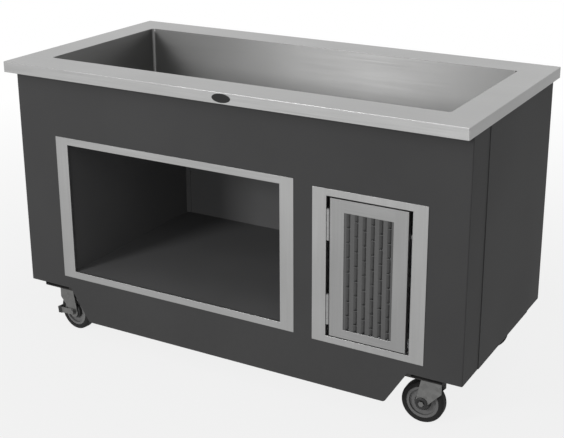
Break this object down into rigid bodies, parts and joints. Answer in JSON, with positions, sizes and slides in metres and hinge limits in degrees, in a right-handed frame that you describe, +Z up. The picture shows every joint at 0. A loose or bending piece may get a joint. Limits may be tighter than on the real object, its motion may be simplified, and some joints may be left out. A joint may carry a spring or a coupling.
{
  "type": "cold food serving counter",
  "caption": "Mobile serving counter with a deep refrigerated stainless well, an open storage bay, a louvered machine door and swivel casters under a dark painted body.",
  "frame": {"origin": "on the floor under the middle of the counter", "axes": "+X along the counter to the server's right, +Y from the server's side to the guests' side, +Z up"},
  "size_m": [1.524, 0.763, 0.914],
  "materials": {
    "top_steel": "satin brushed stainless sheet",
    "pan_steel": "satin stainless pan",
    "trim_steel": "satin stainless trim",
    "door_steel": "satin stainless door",
    "louver_steel": "dull louver steel",
    "body_paint": "dark charcoal satin paint",
    "bay_paint": "grey satin paint inside the bays",
    "galvanised": "galvanised sheet",
    "base_steel": "black painted tube",
    "foam": "rigid foam",
    "copper": "copper tube",
    "drain_brass": "brass valve",
    "drain_steel": "stainless drain",
    "badge_black": "blank black oval",
    "black_plastic": "black moulded plastic",
    "machine_black": "black enamel",
    "fin_metal": "aluminium fins",
    "zinc": "dull zinc plate",
    "tyre": "black rubber tread",
    "wheel_core": "grey moulded core"
  },
  "bodies": {
    "cabinet": {"counter_top": "top_steel", "badge_plate": "badge_black", "cold_pan": "pan_steel", "pan_insulation": "foam", "pan_casing": "galvanised", "cooling_coil": "copper", "front_panel": "body_paint", "back_panel": "body_paint", "left_end_panel": "body_paint", "right_end_panel": "body_paint", "left_caster_beam": "base_steel", "right_caster_beam": "base_steel", "front_sill": "base_steel", "rear_sill": "base_steel", "storage_floor": "bay_paint", "storage_left_wall": "bay_paint", "storage_back_wall": "bay_paint", "divider_wall": "bay_paint", "machine_floor": "galvanised", "storage_trim": "trim_steel", "machine_trim": "trim_steel", "hinge_frame_leaves": "door_steel", "hinge_pins": "door_steel", "door_catch": "black_plastic", "drain_fitting": "drain_steel", "drain_valve": "drain_brass", "drain_pipe": "drain_steel", "condenser": "fin_metal", "fan_shroud": "galvanised", "fan_motor": "machine_black", "compressor": "machine_black", "refrigerant_lines": "copper", "control_box": "galvanised", "cord_gland": "black_plastic", "caster_plates": "zinc"},
    "louver_door": {"door_frame": "door_steel", "louver_grille": "louver_steel", "hinge_door_leaves": "door_steel"},
    "drain_lever": {"drain_lever": "drain_steel"},
    "fan": {"fan_blade": "black_plastic"},
    "thermostat_knob": {"thermostat_knob": "black_plastic"},
    "power_switch": {"power_switch": "black_plastic"},
    "front_left_swivel": {"front_left_fork": "zinc", "front_left_axle": "zinc"},
    "front_left_wheel": {"front_left_tyre": "tyre", "front_left_core": "wheel_core"},
    "front_left_brake": {"front_left_brake": "zinc"},
    "front_right_swivel": {"front_right_fork": "zinc", "front_right_axle": "zinc"},
    "front_right_wheel": {"front_right_tyre": "tyre", "front_right_core": "wheel_core"},
    "rear_left_swivel": {"rear_left_fork": "zinc", "rear_left_axle": "zinc"},
    "rear_left_wheel": {"rear_left_tyre": "tyre", "rear_left_core": "wheel_core"},
    "rear_left_brake": {"rear_left_brake": "zinc"},
    "rear_right_swivel": {"rear_right_fork": "zinc", "rear_right_axle": "zinc"},
    "rear_right_wheel": {"rear_right_tyre": "tyre", "rear_right_core": "wheel_core"}
  },
  "joints": [
    {"name": "door_hinge", "type": "hinge", "parent": "cabinet", "child": "louver_door", "pos_m": [0.345, -0.331, 0.44], "axis": [0, 0, -1], "range_deg": [0, 115]},
    {"name": "drain_lever_turn", "type": "hinge", "parent": "cabinet", "child": "drain_lever", "pos_m": [0.56, 0, 0.5815], "axis": [0, -1, 0], "range_deg": [0, 90]},
    {"name": "fan_spin", "type": "hinge", "parent": "cabinet", "child": "fan", "pos_m": [0.4685, -0.177, 0.386], "axis": [0, 1, 0], "continuous": true},
    {"name": "thermostat_turn", "type": "hinge", "parent": "cabinet", "child": "thermostat_knob", "pos_m": [0.4285, -0.29, 0.622], "axis": [0, 1, 0], "range_deg": [0, 270]},
    {"name": "power_rock", "type": "hinge", "parent": "cabinet", "child": "power_switch", "pos_m": [0.5085, -0.285, 0.622], "axis": [-1, 0, 0], "range_deg": [0, 20]},
    {"name": "front_left_swivel_turn", "type": "hinge", "parent": "cabinet", "child": "front_left_swivel", "pos_m": [-0.652, -0.265, 0.147], "axis": [0, 0, 1], "continuous": true},
    {"name": "front_left_wheel_spin", "type": "hinge", "parent": "front_left_swivel", "child": "front_left_wheel", "pos_m": [-0.62229, -0.26917, 0.0635], "axis": [-0.1392, -0.9903, 0], "continuous": true},
    {"name": "front_left_brake_release", "type": "hinge", "parent": "front_left_swivel", "child": "front_left_brake", "pos_m": [-0.62229, -0.26917, 0.0635], "axis": [0.1392, 0.9903, 0], "range_deg": [0, 24]},
    {"name": "front_right_swivel_turn", "type": "hinge", "parent": "cabinet", "child": "front_right_swivel", "pos_m": [0.652, -0.265, 0.147], "axis": [0, 0, 1], "continuous": true},
    {"name": "front_right_wheel_spin", "type": "hinge", "parent": "front_right_swivel", "child": "front_right_wheel", "pos_m": [0.62204, -0.26657, 0.0635], "axis": [-0.0523, 0.9986, 0], "continuous": true},
    {"name": "rear_left_swivel_turn", "type": "hinge", "parent": "cabinet", "child": "rear_left_swivel", "pos_m": [-0.652, 0.265, 0.147], "axis": [0, 0, 1], "continuous": true},
    {"name": "rear_left_wheel_spin", "type": "hinge", "parent": "rear_left_swivel", "child": "rear_left_wheel", "pos_m": [-0.62237, 0.26031, 0.0635], "axis": [-0.1564, -0.9877, 0], "continuous": true},
    {"name": "rear_left_brake_release", "type": "hinge", "parent": "rear_left_swivel", "child": "rear_left_brake", "pos_m": [-0.62237, 0.26031, 0.0635], "axis": [0.1564, 0.9877, 0], "range_deg": [0, 24]},
    {"name": "rear_right_swivel_turn", "type": "hinge", "parent": "cabinet", "child": "rear_right_swivel", "pos_m": [0.652, 0.265, 0.147], "axis": [0, 0, 1], "continuous": true},
    {"name": "rear_right_wheel_spin", "type": "hinge", "parent": "rear_right_swivel", "child": "rear_right_wheel", "pos_m": [0.62266, 0.25876, 0.0635], "axis": [-0.2079, 0.9781, 0], "continuous": true}
  ]
}
